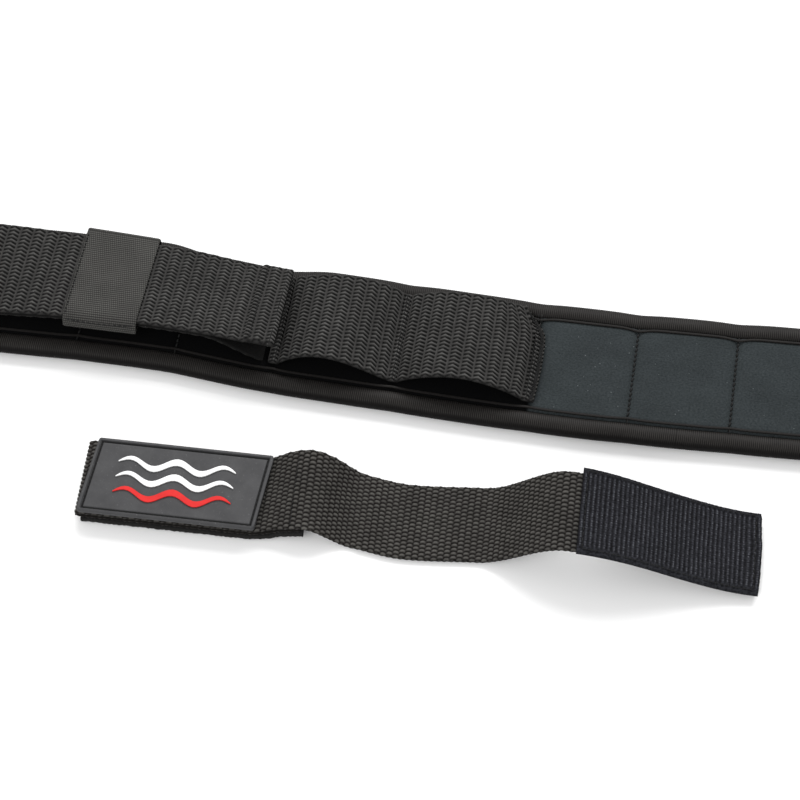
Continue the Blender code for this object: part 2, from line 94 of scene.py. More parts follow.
# The closing strap, in its own frame
STRAP_FRAME = Matrix.Translation((0.021, -0.0865, 0.0)) @ Matrix.Rotation(math.radians(2.5), 4, "Z")
STRAP_WIDTH = 0.038
STRAP_KNOTS = (
    (-0.155, 0.0061), (-0.0745, 0.0061), (-0.052, 0.0138), (-0.030, 0.0013),
    (0.026, 0.0013), (0.064, 0.0240), (0.151, 0.0013),
)
# The strap's roll in degrees, and how far its centre line sways
STRAP_ROLLS = ((-0.0745, 0), (-0.055, -10), (-0.044, -10), (-0.026, 0), (0.030, 0), (0.060, -6), (0.105, 0))
STRAP_SWAY = (
    (-0.0780, 0.0), (-0.064, 0.0020), (-0.042, 0.0014), (-0.008, -0.0027), (0.035, 0.0), (0.151, -0.0012),
)
STRAP_UNDER_END = -0.055  # the end of the layer folded back under the patch
STRAP_SEAM = -0.0585
TAPE_SPAN, TAPE_WIDTH, TAPE_THICKNESS = (-0.1545, -0.0535), 0.040, 0.0022
HOOK_SPAN, HOOK_WIDTH, HOOK_THICKNESS = (0.069, 0.1515), 0.0415, 0.0020
PATCH_SPAN, PATCH_WIDTH, PATCH_THICKNESS = (-0.1545, -0.0735), 0.0385, 0.0022
PATCH_RIM_WIDTH, PATCH_RIM_HEIGHT, PATCH_CORNER, PATCH_GROOVE = 0.0016, 0.0006, 0.0014, 0.0021

# Seams across the pad: the tunnels' own and those of the plain cells beyond and between them
CELL_SEAMS = tuple(LEFT_SEAMS[0] - CELL_PITCH * n for n in (3, 2, 1))
CELL_SEAMS += tuple(LEFT_SEAMS[-1] + CELL_PITCH * n for n in (1, 2))
CELL_SEAMS += tuple(RIGHT_SEAMS[-1] + CELL_PITCH * n for n in (1, 2, 3))
PAD_SEAMS = tuple(sorted(CELL_SEAMS + LEFT_SEAMS + RIGHT_SEAMS))


# ---- shapes


def ramp(value, start, end):
    """A smooth step from 0 at start to 1 at end."""
    part = np.clip((value - start) / (end - start), 0.0, 1.0)
    return part * part * (3 - 2 * part)


def through(knots, place):
    """A smooth curve through (place, value) knots, level at each of them."""
    value = np.full(np.shape(place), float(knots[0][1]))
    for (start, low), (end, high) in zip(knots, knots[1:]):
        value = value + (high - low) * ramp(place, start, end)
    return value


def pad_centre(x):
    """How far sideways the pad's centre line lies at x."""
    return through(BOW_KNOTS, x)


def web_centre(x):
    return pad_centre(x) + WEB_OFFSET


def wander(along, across, seed, size=1.0):
    """A slow, fixed unevenness of about -1 to 1, for places in metres."""
    total = 0.0
    for turn in range(4):
        heading = seed * 1.7 + turn * 2.1
        scale = 2 * math.pi / ((0.031 + 0.017 * turn) * size)
        total = total + np.sin(scale * (along * math.cos(heading) + across * math.sin(heading)) + seed + turn)
    return total / 4


def noise(along, across, seed, pitch):
    """Smoothed random values from 0 to 1 on a fixed lattice of the given pitch."""
    table = np.random.default_rng(seed).random((64, 64))
    u, v = along / pitch, across / pitch
    left, low = np.floor(u).astype(int), np.floor(v).astype(int)
    fu, fv = u - left, v - low
    fu, fv = fu * fu * (3 - 2 * fu), fv * fv * (3 - 2 * fv)
    a = table[left % 64, low % 64] * (1 - fu) + table[(left + 1) % 64, low % 64] * fu
    b = table[left % 64, (low + 1) % 64] * (1 - fu) + table[(left + 1) % 64, (low + 1) % 64] * fu
    return a * (1 - fv) + b * fv


# ---- weaves


def yarn_profile(place):
    """Rounded yarns with a gap between them: 1 along each yarn, at whole places, and 0 in the gaps."""
    return np.clip((np.cos(2 * np.pi * place) + 0.62) / 1.5, 0.0, 1.0) ** 0.8


# The depth of the pits and the height of the crests through one unit of the main webbing's weave
PIT_DEPTHS = ((0.06, 0), (0.12, 1), (0.24, 0.80), (0.45, 0.70), (0.60, 1), (0.90, 1), (0.95, 0))
CREST_HEIGHTS = ((0, 0.60), (0.08, 0.56), (0.18, 0.70), (0.45, 0.94), (0.62, 0.90), (0.88, 0.68), (1, 0.60))


def herringbone(along, across):
    """The main webbing: rows that rise and fall in each unit, between columns of pits beside a plain line."""
    unit, pitch, rise = 6.1 * MM, 2.11 * MM, 1.05 * MM
    along = along + 0.25 * MM * wander(along, across, 3)
    line = across + 0.15 * MM * wander(along, across, 5)
    place = np.mod(along / unit, 1.0)
    line = line - rise * np.minimum(place / 0.45, 1.0) + 1.6 * rise * np.maximum(place - 0.45, 0.0) / 0.55
    ridge = yarn_profile(line / pitch)
    depth = np.interp(place, *zip(*PIT_DEPTHS))
    crest = np.interp(place, *zip(*CREST_HEIGHTS))
    relief = crest * (1 - depth * (1 - ridge)) * (0.88 + 0.24 * noise(along, across, 31, 1.9 * MM))
    body = ramp(WEB_WIDTH / 2 - np.abs(across), 0.2 * MM, 0.9 * MM)
    return np.clip(relief * body + (0.25 + 0.3 * ridge) * (1 - body), 0.0, 1.0)


def basket(along, across):
    """The 38 mm webbing: arched floats in columns, each column half a row on from the last."""
    column, row, arch = 2.86 * MM, 2.08 * MM, 0.42 * MM
    along = along + 0.15 * MM * wander(along, across, 7)
    index = np.floor(along / column)
    part = along / column - index - 0.5
    line = across / row + 0.5 * np.mod(index, 2) - arch / row * (1 - 4 * part**2)
    ridge = 1 - np.abs(2 * (np.mod(line, 1.0) - 0.5)) ** 1.65
    end = 1 - 0.62 * np.abs(2 * part) ** 4
    return np.clip(ridge * end * (0.86 + 0.28 * noise(along, across, 32, 1.7 * MM)), 0.0, 1.0)


def plain_weave(along, across):
    """The keeper's fine weave."""
    warp = np.sin(np.pi * (along / (0.93 * MM) + 0.25 * across / (1.15 * MM)))
    weft = np.sin(np.pi * across / (1.15 * MM))
    return np.abs(warp) ** 0.6 * np.abs(weft) ** 0.9


def hook_rows(along, across):
    """The hook panel: ribs across it with rows of hooks between, inside a plain sewn border."""
    pitch = 2.2 * MM
    part = np.mod((along + 0.22 * MM * wander(along, across, 13, 0.4)) / pitch, 1.0)
    rib = np.exp(-(((part - 0.5) / 0.27) ** 2))
    fuzz = noise(along, across, 14, 0.55 * MM)
    beads = 0.5 + 0.5 * np.cos(2 * np.pi * across / (1.15 * MM))
    field = 0.05 + rib * (0.20 + 0.32 * beads + 0.48 * fuzz) + 0.20 * (1 - rib) * fuzz
    inner = HOOK_WIDTH / 2
    front = ramp(across, -inner + 3.4 * MM, -inner + 3.9 * MM)
    rear = 1 - ramp(across, inner - 3.0 * MM, inner - 2.4 * MM)
    border = 0.10 + 0.50 * noise(along, across, 16, 0.6 * MM)
    inside = front * rear
    return field * inside + border * (1 - inside)


def pile(along, across):
    """Fuzzy loop pile."""
    return 0.6 * noise(along, across, 11, 0.9 * MM) + 0.4 * noise(along, across, 12, 0.45 * MM)


# ---- mesh building


def unit(vectors):
    return vectors / np.linalg.norm(vectors, axis=-1, keepdims=True)


def add_object(name, data):
    made = bpy.data.objects.new(name, data)
    bpy.context.scene.collection.objects.link(made)
    return made


def mesh_object(name, points, quads, finish, rims=(), flat=None, relief=None):
    """A smooth piece from points, quads and larger rim faces, with each point's flat place and relief."""
    corners = np.concatenate([quads.ravel(), *rims]).astype(np.int32)
    sizes = [4] * len(quads) + [len(rim) for rim in rims]
    starts = np.cumsum([0, *sizes[:-1]]).astype(np.int32)
    mesh = bpy.data.meshes.new(name)
    mesh.vertices.add(points.size // 3)
    mesh.vertices.foreach_set("co", points.astype(np.float32).ravel())
    mesh.loops.add(len(corners))
    mesh.loops.foreach_set("vertex_index", corners)
    mesh.polygons.add(len(starts))
    mesh.polygons.foreach_set("loop_start", starts)
    mesh.update(calc_edges=True)
    if flat is not None:
        layer = mesh.uv_layers.new(name="flat")
        layer.uv.foreach_set("vector", (flat.reshape(-1, 2)[corners] / MM).astype(np.float32).ravel())
    if relief is not None:
        values = mesh.attributes.new("relief", "FLOAT", "POINT")
        values.data.foreach_set("value", relief.astype(np.float32).ravel())
    mesh.shade_smooth()
    mesh.set_sharp_from_angle(angle=math.radians(50))
    mesh.materials.append(finish)
    return add_object(name, mesh)


def ring_quads(rings, sides, closed=False):
    """Quads between rings of points, facing out where each ring runs clockwise as seen from ahead."""
    ring = np.arange(rings if closed else rings - 1)[:, None]
    side = np.arange(sides)[None, :]
    here, after = ring * sides, (ring + 1) % rings * sides
    turned = (side + 1) % sides
    return np.stack([here + side, after + side, after + turned, here + turned], -1).reshape(-1, 4)


def end_rims(rings, sides):
    return np.arange(sides), np.arange((rings - 1) * sides, rings * sides)[::-1]


def distances(path):
    """How far along a path each of its points lies."""
    return np.r_[0, np.cumsum(np.linalg.norm(np.diff(path, axis=0), axis=1))]


def resample(route, step):
    """Stations at even distances along a route of rows that begin with x, y, z, and those distances."""
    gone = distances(route[:, :3])
    wanted = np.linspace(0, gone[-1], max(int(round(gone[-1] / step)), 2) + 1)
    return np.stack([np.interp(wanted, gone, column) for column in route.T], 1), wanted


def no_change(along, side):
    return 0.0 * along


def at_each(size, along):
    """A size at each distance along, from a number or a function."""
    return np.array([size(s) for s in along]) if callable(size) else np.full(len(along), size)


def strip(name, route, width, thickness, finish, weave=no_change, height=0.0, step=0.5 * MM,
          across_step=0.35 * MM, under=9, edge=no_change, ends=no_change, drape=no_change):
    """A closed strip along a route of rows (x, y, z, roll), fine and woven on its upper face.

    width and thickness are numbers or functions of the distance along. edge(along, side) moves an edge
    outwards, ends(along, fraction across) moves points onwards, and drape(x, fraction across) lifts them.
    """
    stations, along = resample(route, step)
    centre, roll = stations[:, :3], stations[:, 3]
    ahead = np.gradient(centre, along, axis=0)
    ahead[:, 1] = 0
    ahead = unit(ahead)
    across = np.stack([0 * roll, np.cos(roll), -np.sin(roll)], 1)
    up = unit(np.cross(ahead, across))
    widths, depths = at_each(width, along), at_each(thickness, along)

    fine = int(round(widths.max() / across_step))
    turn = np.linspace(90, -90, 7)[1:-1]
    fraction = np.r_[np.linspace(-1, 1, fine), np.ones(5), np.linspace(1, -1, under), -np.ones(5)]
    angle = np.radians(np.r_[np.full(fine, 90), turn, np.full(under, -90), turn - 180])
    side = np.sign(fraction) * np.abs(fraction) ** 9
    places = fraction * (widths[:, None] - depths[:, None]) / 2 + np.cos(angle) * depths[:, None] / 2
    far = np.broadcast_to(along[:, None], places.shape)
    places = places + side * edge(far, np.sign(fraction)[None, :])
    levels = np.sin(angle) * depths[:, None] / 2
    flat = np.stack([far, places], -1)
    upper = np.clip((np.sin(angle) + 0.3) / 0.6, 0, 1)
    # Painted shade: the sides and underside get a fixed low relief of 0.2, which the finishes paint darker
    # than the upper face
    relief = weave(far, places) * upper + 0.2 * (1 - upper)
    raised = height * (relief - 0.75) * upper
    onwards = ends(far, fraction[None, :])
    points = (
        centre[:, None]
        + across[:, None] * (places + np.cos(angle) * raised)[..., None]
        + up[:, None] * (levels + np.sin(angle) * raised)[..., None]
        + ahead[:, None] * (onwards * np.ones_like(places))[..., None]
    )
    points[..., 2] += drape(centre[:, 0, None], fraction[None, :])
    rings, sides = places.shape
    return mesh_object(name, points, ring_quads(rings, sides), finish, end_rims(rings, sides), flat, relief)


STITCH_RINGS, STITCH_SIDES = 7, 6


def stitch_row(path, pitch, radius, fill=0.82, slant=0.0, up=(0.0, 0.0, 1.0)):
    """Thread along a path, one arched stitch after another: points, quads and caps of closed capsules."""
    gone = distances(path)
    count = max(int(gone[-1] / pitch), 1)
    part = np.linspace(0, 1, STITCH_RINGS)
    places = (np.arange(count)[:, None] + (1 - fill) / 2 + part * fill) * gone[-1] / count
    middle = np.stack([np.interp(places, gone, column) for column in path.T], -1)
    ahead = unit(np.gradient(middle, axis=1))
    up = np.array(up)
    aside = np.cross(ahead, up)
    arch = radius * (np.sin(np.pi * part) - 0.35)
    middle = middle + up * arch[:, None] + aside * (slant * (part - 0.5))[:, None]
    size = radius * np.sin(np.pi * (0.06 + 0.88 * part)) ** 0.45
    turn = np.linspace(0, 2 * np.pi, STITCH_SIDES, endpoint=False)
    points = (
        middle[:, :, None]
        + aside[:, :, None] * (size[:, None] * np.cos(turn))[..., None]
        + up * (size[:, None] * np.sin(turn))[..., None]
    )
    first = np.arange(count)[:, None] * STITCH_RINGS * STITCH_SIDES
    quads = (first[:, None] + ring_quads(STITCH_RINGS, STITCH_SIDES)[:, ::-1]).reshape(-1, 4)
    front, back = end_rims(STITCH_RINGS, STITCH_SIDES)
    caps = [rim[::-1] + start for start in first for rim in (front, back)]
    return points.reshape(-1, 3), quads, caps


def thread(name, rows):
    """All the given stitch rows as one piece."""
    points, quads, caps, used = [], [], [], 0
    for row_points, row_quads, row_caps in rows:
        points.append(row_points)
        quads.append(row_quads + used)
        caps += [cap + used for cap in row_caps]
        used += len(row_points)
    points = np.concatenate(points)
    return mesh_object(name, points, np.concatenate(quads), FINISHES["thread"], caps, points[:, :2])


# ---- materials


def rgba(colour):
    """A grey number or an (r, g, b) as four numbers. A socket stays as it is."""
    if isinstance(colour, bpy.types.NodeSocket):
        return colour
    return (*colour, 1) if isinstance(colour, tuple) else (colour, colour, colour, 1)


class Finish:
    """A material's nodes, with short ways to add and join them."""

    def __init__(self, name, **shader):
        self.material = bpy.data.materials.new(name)
        self.material.use_nodes = True
        self.tree = self.material.node_tree
        self.shader = self.tree.nodes["Principled BSDF"]
        for socket, value in shader.items():
            self.set(socket.replace("_", " ").title().replace("Ior", "IOR"), value)

    def node(self, kind, inputs=(), **settings):
        made = self.tree.nodes.new(kind)
        for name, value in settings.items():
            setattr(made, name, value)
        for name, value in dict(inputs).items():
            self.join(value, made.inputs[name])
        return made

    def join(self, value, socket):
        if isinstance(value, bpy.types.NodeSocket):
            self.tree.links.new(value, socket)
        else:
            socket.default_value = value

    def set(self, name, value):
        self.join(value, self.shader.inputs[name])

    def flat(self, along=1.0, across=1.0):
        """The piece's flat layout in millimetres, scaled."""
        uv = self.node("ShaderNodeUVMap", uv_map="flat").outputs[0]
        return self.node("ShaderNodeMapping", {"Vector": uv, "Scale": (along, across, 1)}).outputs[0]

    def place(self, scale=(1000.0, 1000.0, 1000.0)):
        """The place in the object, in millimetres unless scaled otherwise."""
        place = self.node("ShaderNodeTexCoord").outputs["Object"]
        return self.node("ShaderNodeMapping", {"Vector": place, "Scale": scale}).outputs[0]

    def noise(self, where, scale=1.0, detail=3.0, roughness=0.6):
        inputs = {"Vector": where, "Scale": scale, "Detail": detail, "Roughness": roughness}
        return self.node("ShaderNodeTexNoise", inputs).outputs["Fac"]

    def flat_noise(self, along, across, detail=3.0, roughness=0.6):
        return self.noise(self.flat(along, across), 1.0, detail, roughness)

    def wave(self, where, scale, direction, **inputs):
        inputs = {"Vector": where, "Scale": scale, **inputs}
        return self.node("ShaderNodeTexWave", inputs, bands_direction=direction).outputs["Fac"]

    def cells(self, where, scale, randomness):
        inputs = {"Vector": where, "Scale": scale, "Randomness": randomness}
        return self.node("ShaderNodeTexVoronoi", inputs).outputs["Distance"]

    def relief(self):
        return self.node("ShaderNodeAttribute", attribute_name="relief").outputs["Fac"]

    def ramp(self, value, *stops):
        """Colours or greys along a value, from stops of (value, colour)."""
        made = self.node("ShaderNodeValToRGB", {"Fac": value})
        elements = made.color_ramp.elements
        while len(elements) < len(stops):
            elements.new(0.5)
        for element, (place, colour) in zip(elements, stops):
            element.position = place
            element.color = rgba(colour)
        return made.outputs["Color"]

    def mix(self, factor, a, b, blend="MIX"):
        made = self.node("ShaderNodeMix", data_type="RGBA", blend_type=blend)
        for index, value in ((0, factor), (6, rgba(a)), (7, rgba(b))):
            self.join(value, made.inputs[index])
        return made.outputs[2]

    def vary(self, amount, tone, value, low, high, span=(0.3, 0.7)):
        """A tone multiplied, by that amount, by low to high as the value crosses the span."""
        return self.mix(amount, tone, self.ramp(value, (span[0], low), (span[1], high)), "MULTIPLY")

    def finished(self, tone, *bumps):
        """The material, with its base colour and layers of bump: (height, distance in metres, strength)."""
        self.set("Base Color", tone)
        below = {}
        for height, distance, strength in bumps:
            inputs = {"Height": height, "Distance": distance, "Strength": strength, **below}
            below = {"Normal": self.node("ShaderNodeBump", inputs).outputs[0]}
            self.set("Normal", below["Normal"])
        return self.material


def woven_finish(name, dark, mid, light, fibre_along, fibre_across, lint=0.0):
    """Woven yarn: painted shade, dark in its grooves, and painted light, paler on its ridges, with fine
    fibres and slow changes of tone.
    """
    made = Finish(name, roughness=0.75, specular_ior_level=0.06)
    fibres = made.flat_noise(fibre_along, fibre_across, 4.0, 0.7)
    # Painted shade and light: the dark tone goes in the relief's grooves and the light tone on its ridges
    tone = made.ramp(made.relief(), (0.12, dark), (0.60, mid), (0.97, light))
    tone = made.vary(0.75, tone, fibres, 0.45, 1.5)
    tone = made.vary(0.6, tone, made.flat_noise(0.05, 0.05), 0.78, 1.2)
    if lint:
        specks = made.flat_noise(1.1, 1.1, 1.0)
        tone = made.mix(made.ramp(specks, (0.74, 0.0), (0.80, lint)), tone, 0.30)
    made.set("Roughness", made.ramp(fibres, (0.3, 0.62), (0.7, 0.88)))
    return made.finished(tone, (fibres, 0.12 * MM, 0.6))


def face_finish():
    """Brushed nylon over neoprene: a cool close knit, faint rows and lint, and painted shade, near black,
    below the webbing.
    """
    made = Finish("neoprene_face", roughness=0.92, specular_ior_level=0.06)
    flat = made.flat()
    knit = made.flat_noise(0.9, 1.3, 4.0, 0.8)
    rows = made.wave(flat, 0.55, "Y", **{"Distortion": 2.5, "Detail": 2.0, "Detail Scale": 2.0})
    tone = made.ramp(knit, (0.30, (0.013, 0.0165, 0.0175)), (0.70, (0.038, 0.044, 0.0465)))
    tone = made.vary(0.5, tone, made.flat_noise(0.045, 0.06, 4.0), 0.72, 1.3)
    tone = made.vary(0.25, tone, rows, 0.75, 1.25, (0.2, 0.8))
    specks = made.ramp(made.cells(flat, 0.30, 1.0), (0.030, 0.7), (0.055, 0.0))
    tone = made.mix(specks, tone, (0.30, 0.33, 0.33))
    # Painted shade: near black where the face's relief is 0, under the webbing
    tone = made.mix(made.relief(), (0.0022, 0.0022, 0.0024), tone)
    return made.finished(tone, (rows, 0.10 * MM, 0.25), (knit, 0.16 * MM, 0.5))


def lining_finish():
    made = Finish("lining_knit", roughness=0.9, specular_ior_level=0.1)
    knit = made.cells(made.flat(), 0.9, 0.35)
    tone = made.ramp(knit, (0.0, (0.030, 0.030, 0.032)), (0.8, (0.010, 0.010, 0.011)))
    tone = made.vary(0.5, tone, made.flat_noise(0.05, 0.05), 0.7, 1.25)
    return made.finished(tone, (knit, 0.3 * MM, 0.6))


def binding_finish():
    """Elastic tape with fine ribs across it, its upper part painted paler and brownish as lit from above, its
    lower part painted near black as shaded.
    """
    made = Finish("binding_tape", roughness=0.55, specular_ior_level=0.07)
    threads = made.flat_noise(2.0, 0.5, 4.0, 0.7)
    # Painted light and shade: the relief here is the roll's painted shade, near black low down and paler on
    # top
    tone = made.ramp(made.relief(), (0.0, (0.0018, 0.0013, 0.0013)), (0.5, (0.012, 0.011, 0.0105)),
                     (0.95, (0.037, 0.0345, 0.032)))
    tone = made.vary(0.6, tone, threads, 0.6, 1.4)
    tone = made.vary(0.5, tone, made.flat_noise(0.06, 0.2), 0.7, 1.3)
    made.set("Roughness", made.ramp(threads, (0.3, 0.40), (0.7, 0.62)))
    return made.finished(tone, (threads, 0.08 * MM, 0.5))


def thread_finish():
    made = Finish("sewing_thread", roughness=0.6, specular_ior_level=0.1)
    twist = made.wave(made.place(), 1.6, "DIAGONAL", Distortion=1.0)
    return made.finished(made.ramp(twist, (0.2, 0.003), (0.8, 0.024)), (twist, 0.08 * MM, 0.5))


def rubber_finish(name, dark, light, roughness, dust=0.0, painted_groove_shade=False):
    """Moulded rubber with a fine grain, some of it dusty, and some with painted shade in the grooves of its
    relief.
    """
    made = Finish(name, roughness=roughness, specular_ior_level=0.2)
    place = made.place()
    grain = made.noise(place, 5.0, 3.0, 0.7)
    tone = made.ramp(made.noise(place, 0.12), (0.3, dark), (0.7, light))
    if dust:
        tone = made.mix(made.ramp(made.noise(place, 1.3, 2.0), (0.66, 0.0), (0.74, dust)), tone, 0.30)
    if painted_groove_shade:
        # Painted shade: darker where the relief is low, in the grooves
        tone = made.vary(1.0, tone, made.relief(), 0.06, 1.0, (0.12, 0.40))
    made.set("Roughness", made.ramp(grain, (0.3, roughness - 0.08), (0.7, roughness + 0.12)))
    return made.finished(tone, (grain, 0.05 * MM, 0.5))


def pile_finish():
    made = Finish("loop_pile", roughness=0.95, specular_ior_level=0.06)
    fuzz = made.flat_noise(2.6, 2.6, 4.0, 0.8)
    tone = made.ramp(fuzz, (0.3, 0.006), (0.75, (0.035, 0.034, 0.033)))
    return made.finished(tone, (fuzz, 0.3 * MM, 0.8))


def steel_finish(name, tone):
    """Brushed stainless steel: fine scratches along Y, and a few faint smears."""
    made = Finish(name, metallic=1.0, roughness=0.3, anisotropic=0.4)
    scratches = made.noise(made.place((5200.0, 60.0, 5200.0)))
    rough = made.ramp(scratches, (0.3, 0.22), (0.7, 0.38))
    smears = made.noise(made.place(), 0.08)
    made.set("Roughness", made.vary(0.5, rough, smears, 0.7, 1.3, (0.35, 0.65)))
    shade = tuple(0.82 * part for part in tone)
    return made.finished(made.ramp(scratches, (0.3, shade), (0.7, tone)), (scratches, 0.02 * MM, 0.4))


def floor_finish():
    made = Finish("studio_floor", roughness=0.9, specular_ior_level=0.1)
    faint = made.noise(made.place((1.0, 1.0, 1.0)), 3.0, 2.0)
    return made.finished(made.ramp(faint, (0.3, 0.93), (0.7, 0.95)))


# The woven finishes' dark and light tones are painted shade in the grooves and painted light on the ridges.
# The rubber's True paints shade into the grooves of its relief
FINISHES = {
    "web": woven_finish(
        "herringbone_webbing", 0.0025, (0.032, 0.031, 0.030), (0.078, 0.077, 0.074), 1.6, 5.0, 0.3),
    "strap": woven_finish(
        "basket_webbing", (0.002, 0.0015, 0.001), (0.032, 0.03, 0.028), (0.078, 0.075, 0.069), 1.8, 5.5,
        0.15),
    "keeper": woven_finish(
        "keeper_weave", (0.014, 0.014, 0.013), (0.052, 0.051, 0.048), (0.098, 0.096, 0.091), 3.0, 3.0),
    "hook": woven_finish(
        "hook_tape", (0.004, 0.004, 0.005), (0.025, 0.026, 0.031), (0.095, 0.098, 0.110), 4.0, 4.0),
    "face": face_finish(),
    "lining": lining_finish(),
    "binding": binding_finish(),
    "thread": thread_finish(),
    "pile": pile_finish(),
    "rubber": rubber_finish("patch_rubber", (0.040, 0.040, 0.042), (0.055, 0.055, 0.057), 0.55, 0.25, True),
    "white": rubber_finish("emblem_white", 0.72, 0.80, 0.5),
    "red": rubber_finish("emblem_red", (0.50, 0.012, 0.012), (0.62, 0.020, 0.018), 0.5),
    "steel": steel_finish("brushed_steel", (0.56, 0.56, 0.57)),
    "lever": steel_finish("brushed_lever", (0.66, 0.66, 0.67)),
    "floor": floor_finish(),
}


# ---- the main webbing


def tunnel_height(x, seams, fraction=0.0):
    """The height of the sewn webbing at x, for a fraction across of -1 in front to 1 at the rear."""
    rear = (1 + fraction) / 2
    rise = TUNNEL_RISE_FRONT + (TUNNEL_RISE_REAR - TUNNEL_RISE_FRONT) * rear
    outer_lean = OUTER_LEAN_FRONT + (OUTER_LEAN_REAR - OUTER_LEAN_FRONT) * rear
    z = SEWN_Z
    for low, high in zip(seams, seams[1:]):
        lean = outer_lean if low == LEFT_SEAMS[0] else 1.0
        part = np.clip((high - SEAM_HALF - x) / (high - low - 2 * SEAM_HALF), 0.0, 1.0)
        z = z + rise * np.maximum(np.sin(np.pi * part**lean), 0.0) ** 0.8
    return z


CUT_REACH = 0.028  # the length of webbing over which its cut end's shape fades
HEM_STEP = 0.8 * MM  # half the length over which the thick hem rises


def cut_end(fraction):
    """How far the cut end reaches past a straight one: it bulges, with its rear corner turned back."""
    return 1.4 * MM * (1 - fraction**2) - 8 * MM * ramp(fraction, 0.3, 1.1) ** 1.6


def float_height(x, level, at_bar):
    """The height of a webbing layer between the sewn part and the buckle bar."""
    up = SEWN_Z + (level - SEWN_Z) * ramp(x, FLOAT_START, FLOAT_FULL) if level == BASE_Z else level
    return up + (at_bar - level) * ramp(x, DROP_START, BAR_X)


def float_roll(x):
    """The twist of the floating layers, which lifts their front edge most near the hem."""
    return np.radians(through(ROLL_KNOTS, x))


def route_of(x, z, roll=0.0):
    x = np.asarray(x, float)
    return np.stack([x, web_centre(x), z + 0 * x, roll + 0 * x], 1)


def web_edge(along, side):
    """The small scallops of the webbing's edges."""
    scallops = np.abs(np.sin(np.pi * along / (3.05 * MM))) - 0.6
    return 0.10 * MM * (scallops + 0.8 * wander(along, side, 9, 0.3))


def webbing(name, route, step, across_step, width=WEB_WIDTH, thickness=WEB_THICKNESS, **shape):
    """A piece of the main webbing along a route."""
    return strip(name, route, width, thickness, FINISHES["web"], herringbone, WEAVE_HEIGHT,
                 step * MM, across_step * MM, edge=web_edge, **shape)


def over_tunnels(seams):
    """A drape: how much higher the sewn webbing lies at a place across it than in its middle."""
    def drape(x, fraction):
        return tunnel_height(x, seams, fraction) - tunnel_height(x, seams)
    return drape


def sewn_left():
    x = np.linspace(LEFT_SEAMS[0] - 2.5 * MM, LEFT_SEAMS[-1] + 3 * MM, 1200)
    route = route_of(x, tunnel_height(x, LEFT_SEAMS))
    length = distances(route[:, :3])[-1]

    def ends(along, fraction):
        return cut_end(fraction) * ramp(along, length - CUT_REACH, length)

    made = webbing("webbing_tunnels_left", route, 0.40, 0.28, ends=ends, drape=over_tunnels(LEFT_SEAMS))
    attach(made, "pad_left")
    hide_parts("webbing_left")


def float_left():
    """Above the pad to the buckle, round its bar and back to the thick hem."""
    out = np.linspace(FLOAT_START - 3 * MM, BAR_X, 240)
    back = np.linspace(BAR_X, RETURN_END, 900)
    turn = np.radians(np.linspace(-90, -270, 40)[1:-1])
    rising = float_roll(out) * ramp(out, FLOAT_START, FLOAT_FULL)
    base = route_of(out, float_height(out, BASE_Z, BAR_Z - LOOP_RADIUS), rising)
    loop = np.stack([
        BAR_X + LOOP_RADIUS * np.cos(turn), web_centre(BAR_X) + 0 * turn,
        BAR_Z + LOOP_RADIUS * np.sin(turn), 0 * turn,
    ], 1)
    hem = ramp(back, RETURN_END - HEM_LENGTH - HEM_STEP, RETURN_END - HEM_LENGTH + HEM_STEP)
    level = float_height(back, RETURN_Z, BAR_Z + LOOP_RADIUS) + hem * WEB_THICKNESS / 2
    route = np.concatenate([base, loop, route_of(back, level, float_roll(back))])
    length = distances(route[:, :3])[-1]

    def thickness(along):
        doubled = 1 + ramp(along, length - HEM_LENGTH - HEM_STEP, length - HEM_LENGTH + HEM_STEP)
        return WEB_THICKNESS * doubled * (1 - 0.35 * ramp(along, length - 1.6 * MM, length) ** 2)

    made = webbing("webbing_float_left", route, 0.45, 0.30, thickness=thickness)
    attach(made, "pad_left")
    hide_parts("webbing_left")


def cell_crown(x):
    """How far the plain cells lift what lies on them: nothing at a seam, most between two."""
    crown = 0 * x
    for low, high in zip(PAD_SEAMS, PAD_SEAMS[1:]):
        part = np.clip((x - low) / (high - low), 0, 1)
        crown = crown + 0.4 * MM * np.sin(np.pi * part) ** 0.7
    return crown


def webbing_right():
    last = PAD_SEAMS[-1]
    x = np.linspace(RIGHT_SEAMS[0] - 3 * MM, last, 1800)
    z = tunnel_height(x, RIGHT_SEAMS) + cell_crown(x) * (x > RIGHT_SEAMS[-1])

    def ends(along, fraction):
        return -cut_end(fraction) * (1 - ramp(along, 0, CUT_REACH))

    drape = over_tunnels(RIGHT_SEAMS)
    made = webbing("webbing_tunnels_right", route_of(x, z), 0.50, 0.34, ends=ends, drape=drape)
    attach(made, "pad_right")
    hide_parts("webbing_right")

    x = np.linspace(last, TAIL_END, 900)
    ground = GAP + WEB_THICKNESS / 2
    z = SEWN_Z + (ground - SEWN_Z) * ramp(x, TAIL_DROP_START, TAIL_DROP_END)

    def rounded(along):
        return WEB_WIDTH - 1.2 * MM * ramp(along, TAIL_END - last - 3 * MM, TAIL_END - last) ** 2

    tail = webbing("webbing_free_tail", route_of(x, z), 0.50, 0.34, width=rounded)
    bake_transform(tail)
    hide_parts("webbing_tail")


# ---- the pad


def half_width(x, inset):
    """Half the pad's width at x with its round corners, less the inset."""
    radius = PAD_CORNER - inset
    past = np.clip(np.abs(x - PAD_MIDDLE) - (PAD_HALF_LENGTH - PAD_CORNER), 0, radius * 0.9999)
    return PAD_WIDTH / 2 - inset - radius + np.sqrt(radius**2 - past**2)


def seam_dip(x, reach):
    """1 on a seam and falling to 0 beside it."""
    dip = 0 * x
    for seam in PAD_SEAMS:
        dip = dip + np.exp(-np.abs((x - seam) / reach) ** 1.6)
    return np.clip(dip, 0, 1)


